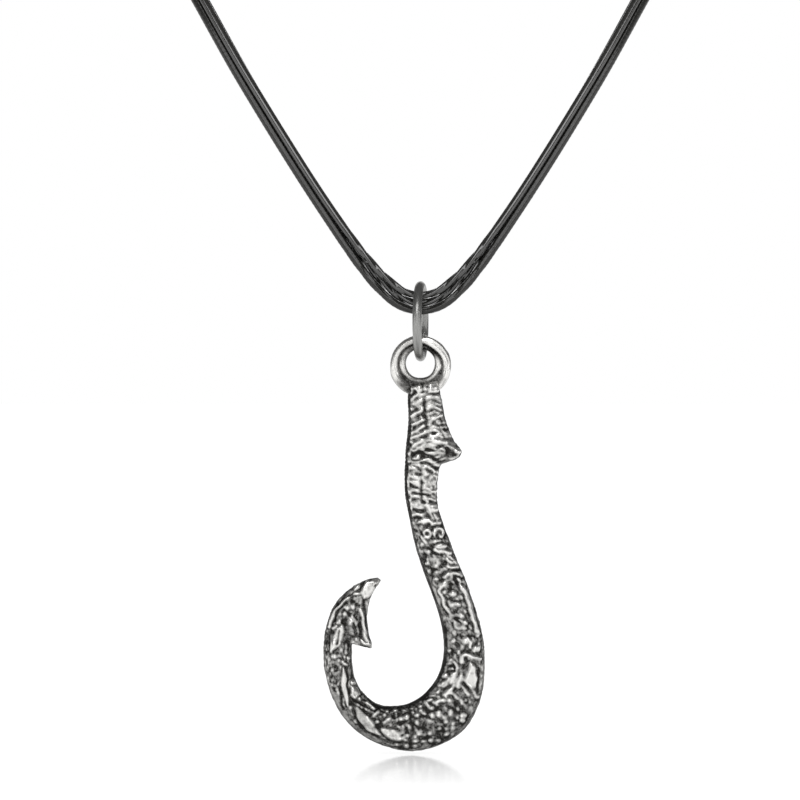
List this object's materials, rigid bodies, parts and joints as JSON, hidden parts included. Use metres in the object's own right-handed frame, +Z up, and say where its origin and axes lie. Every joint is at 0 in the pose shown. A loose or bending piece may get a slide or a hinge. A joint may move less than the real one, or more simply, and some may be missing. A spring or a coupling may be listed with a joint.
{
  "type": "fish-hook pendant necklace",
  "caption": "Necklace with a carved-look fish-hook pendant of oxidised silver-coloured cast metal, hung by a jump ring from a black waxed cord of twisted strands.",
  "frame": {"origin": "middle of the barrel clasp, where the necklace lies on the nape", "axes": "+X to the right of the picture across the wearer, +Y from the front to the back, +Z up; the pendant hangs at the front along -Z"},
  "size_m": [0.12, 0.112, 0.1946],
  "materials": {
    "cast_silver": "cast zinc alloy plated with antique silver, darkened in the recesses and polished on the crests",
    "gunmetal": "polished gunmetal plating",
    "waxed_cord": "black waxed cotton, semi-gloss"
  },
  "bodies": {
    "necklace": {"strand_upper": "waxed_cord", "strand_lower": "waxed_cord", "strand_back": "waxed_cord", "clasp": "gunmetal"},
    "ring": {"jump_ring": "gunmetal"},
    "pendant": {"hook": "cast_silver"}
  },
  "joints": [
    {"name": "ring_swing", "type": "hinge", "parent": "necklace", "child": "ring", "pos_m": [0, -0.105, -0.1382], "axis": [1, 0, 0], "range_deg": [-80, 80]},
    {"name": "hook_swing", "type": "hinge", "parent": "ring", "child": "pendant", "pos_m": [0, -0.105, -0.14469], "axis": [0, 1, 0], "range_deg": [-80, 80]}
  ]
}
